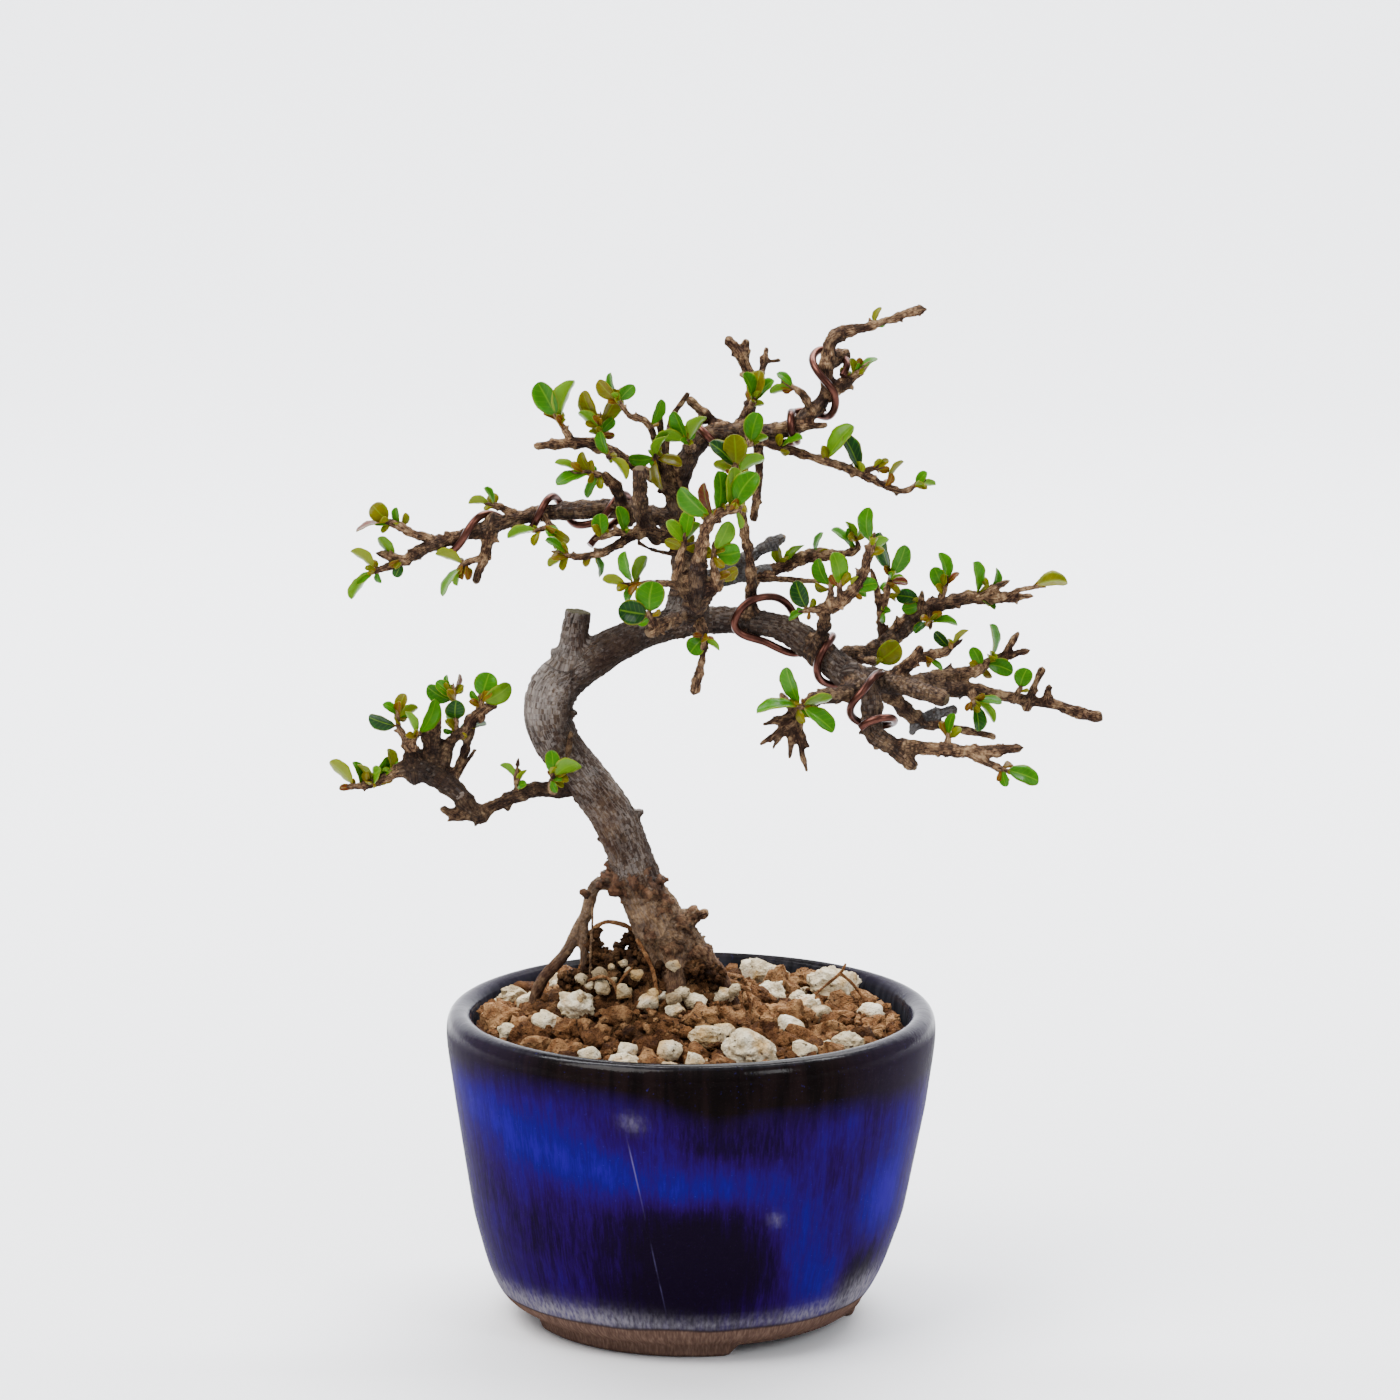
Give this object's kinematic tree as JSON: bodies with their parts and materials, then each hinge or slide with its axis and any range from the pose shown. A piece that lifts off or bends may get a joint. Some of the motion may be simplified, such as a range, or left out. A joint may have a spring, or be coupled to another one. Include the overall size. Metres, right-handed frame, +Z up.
{
  "type": "wall cotoneaster bonsai",
  "caption": "Small leaning wall cotoneaster trained as a bonsai, with sparse leafy twigs and trained branches, in a round glazed pot.",
  "frame": {"origin": "centre of the part's footprint on the surface it stands on; the pot's axis lies 4.2 mm to the -X side of it", "axes": "+Z up; the tree's front faces -Y; +X to the right as seen from the front"},
  "size_m": [0.1407, 0.09, 0.1865],
  "materials": {
    "glazed_pot": "glossy streaked cobalt glaze over a brown stoneware body",
    "drain_screen": "matt moulded mesh",
    "akadama_soil": "rough fired clay grains",
    "pumice": "rough porous",
    "bark": "rough flaking bark",
    "training_wire": "copper-brown anodised, satin",
    "leaves": "thin waxy leaf, glossy above"
  },
  "bodies": {
    "root": {"pot": "glazed_pot", "drain_screen": "drain_screen", "soil": "akadama_soil", "pumice_1": "pumice", "pumice_2": "pumice", "pumice_3": "pumice", "pumice_4": "pumice", "pumice_5": "pumice", "pumice_6": "pumice", "tree": "bark", "wire_upper_left": "training_wire", "wire_apex": "training_wire", "wire_right": "training_wire", "leaves_left_tip": "leaves", "leaves_left_first": "leaves", "leaves_left_second": "leaves", "leaves_left_third": "leaves", "leaves_trunk_left": "leaves", "leaves_low_left_middle": "leaves", "leaves_upper_left_end": "leaves", "leaves_upper_left_first": "leaves", "leaves_upper_left_under": "leaves", "leaves_upper_left_twig": "leaves", "leaves_upper_left_below": "leaves", "leaves_apex_left_high": "leaves", "leaves_apex_left_middle": "leaves", "leaves_apex_thin": "leaves", "leaves_apex_left_front": "leaves", "leaves_apex_left_low": "leaves", "leaves_middle_left_fork": "leaves", "leaves_middle_left_end": "leaves", "leaves_front_left": "leaves", "leaves_front_left_low": "leaves", "leaves_hanging": "leaves", "leaves_front_middle": "leaves", "leaves_front_right": "leaves", "leaves_front_top": "leaves", "leaves_apex_front": "leaves", "leaves_apex_left_side": "leaves", "leaves_upper_right_front": "leaves", "leaves_twig_top": "leaves", "leaves_top_stub": "leaves", "leaves_upper_right_knee": "leaves", "leaves_upper_right_side": "leaves", "leaves_top_end": "leaves", "leaves_right_down": "leaves", "leaves_right_back": "leaves", "leaves_front_small": "leaves", "leaves_right_middle_high": "leaves", "leaves_right_middle_back": "leaves", "leaves_right_middle_top": "leaves", "leaves_right_middle_under": "leaves", "leaves_right_middle_end": "leaves", "leaves_right_middle_single": "leaves", "leaves_low_right_front": "leaves", "leaves_low_right_middle": "leaves", "leaves_low_right_single": "leaves", "leaves_low_right_under": "leaves", "leaves_down_end": "leaves", "leaves_front_low": "leaves"}
  },
  "joints": []
}
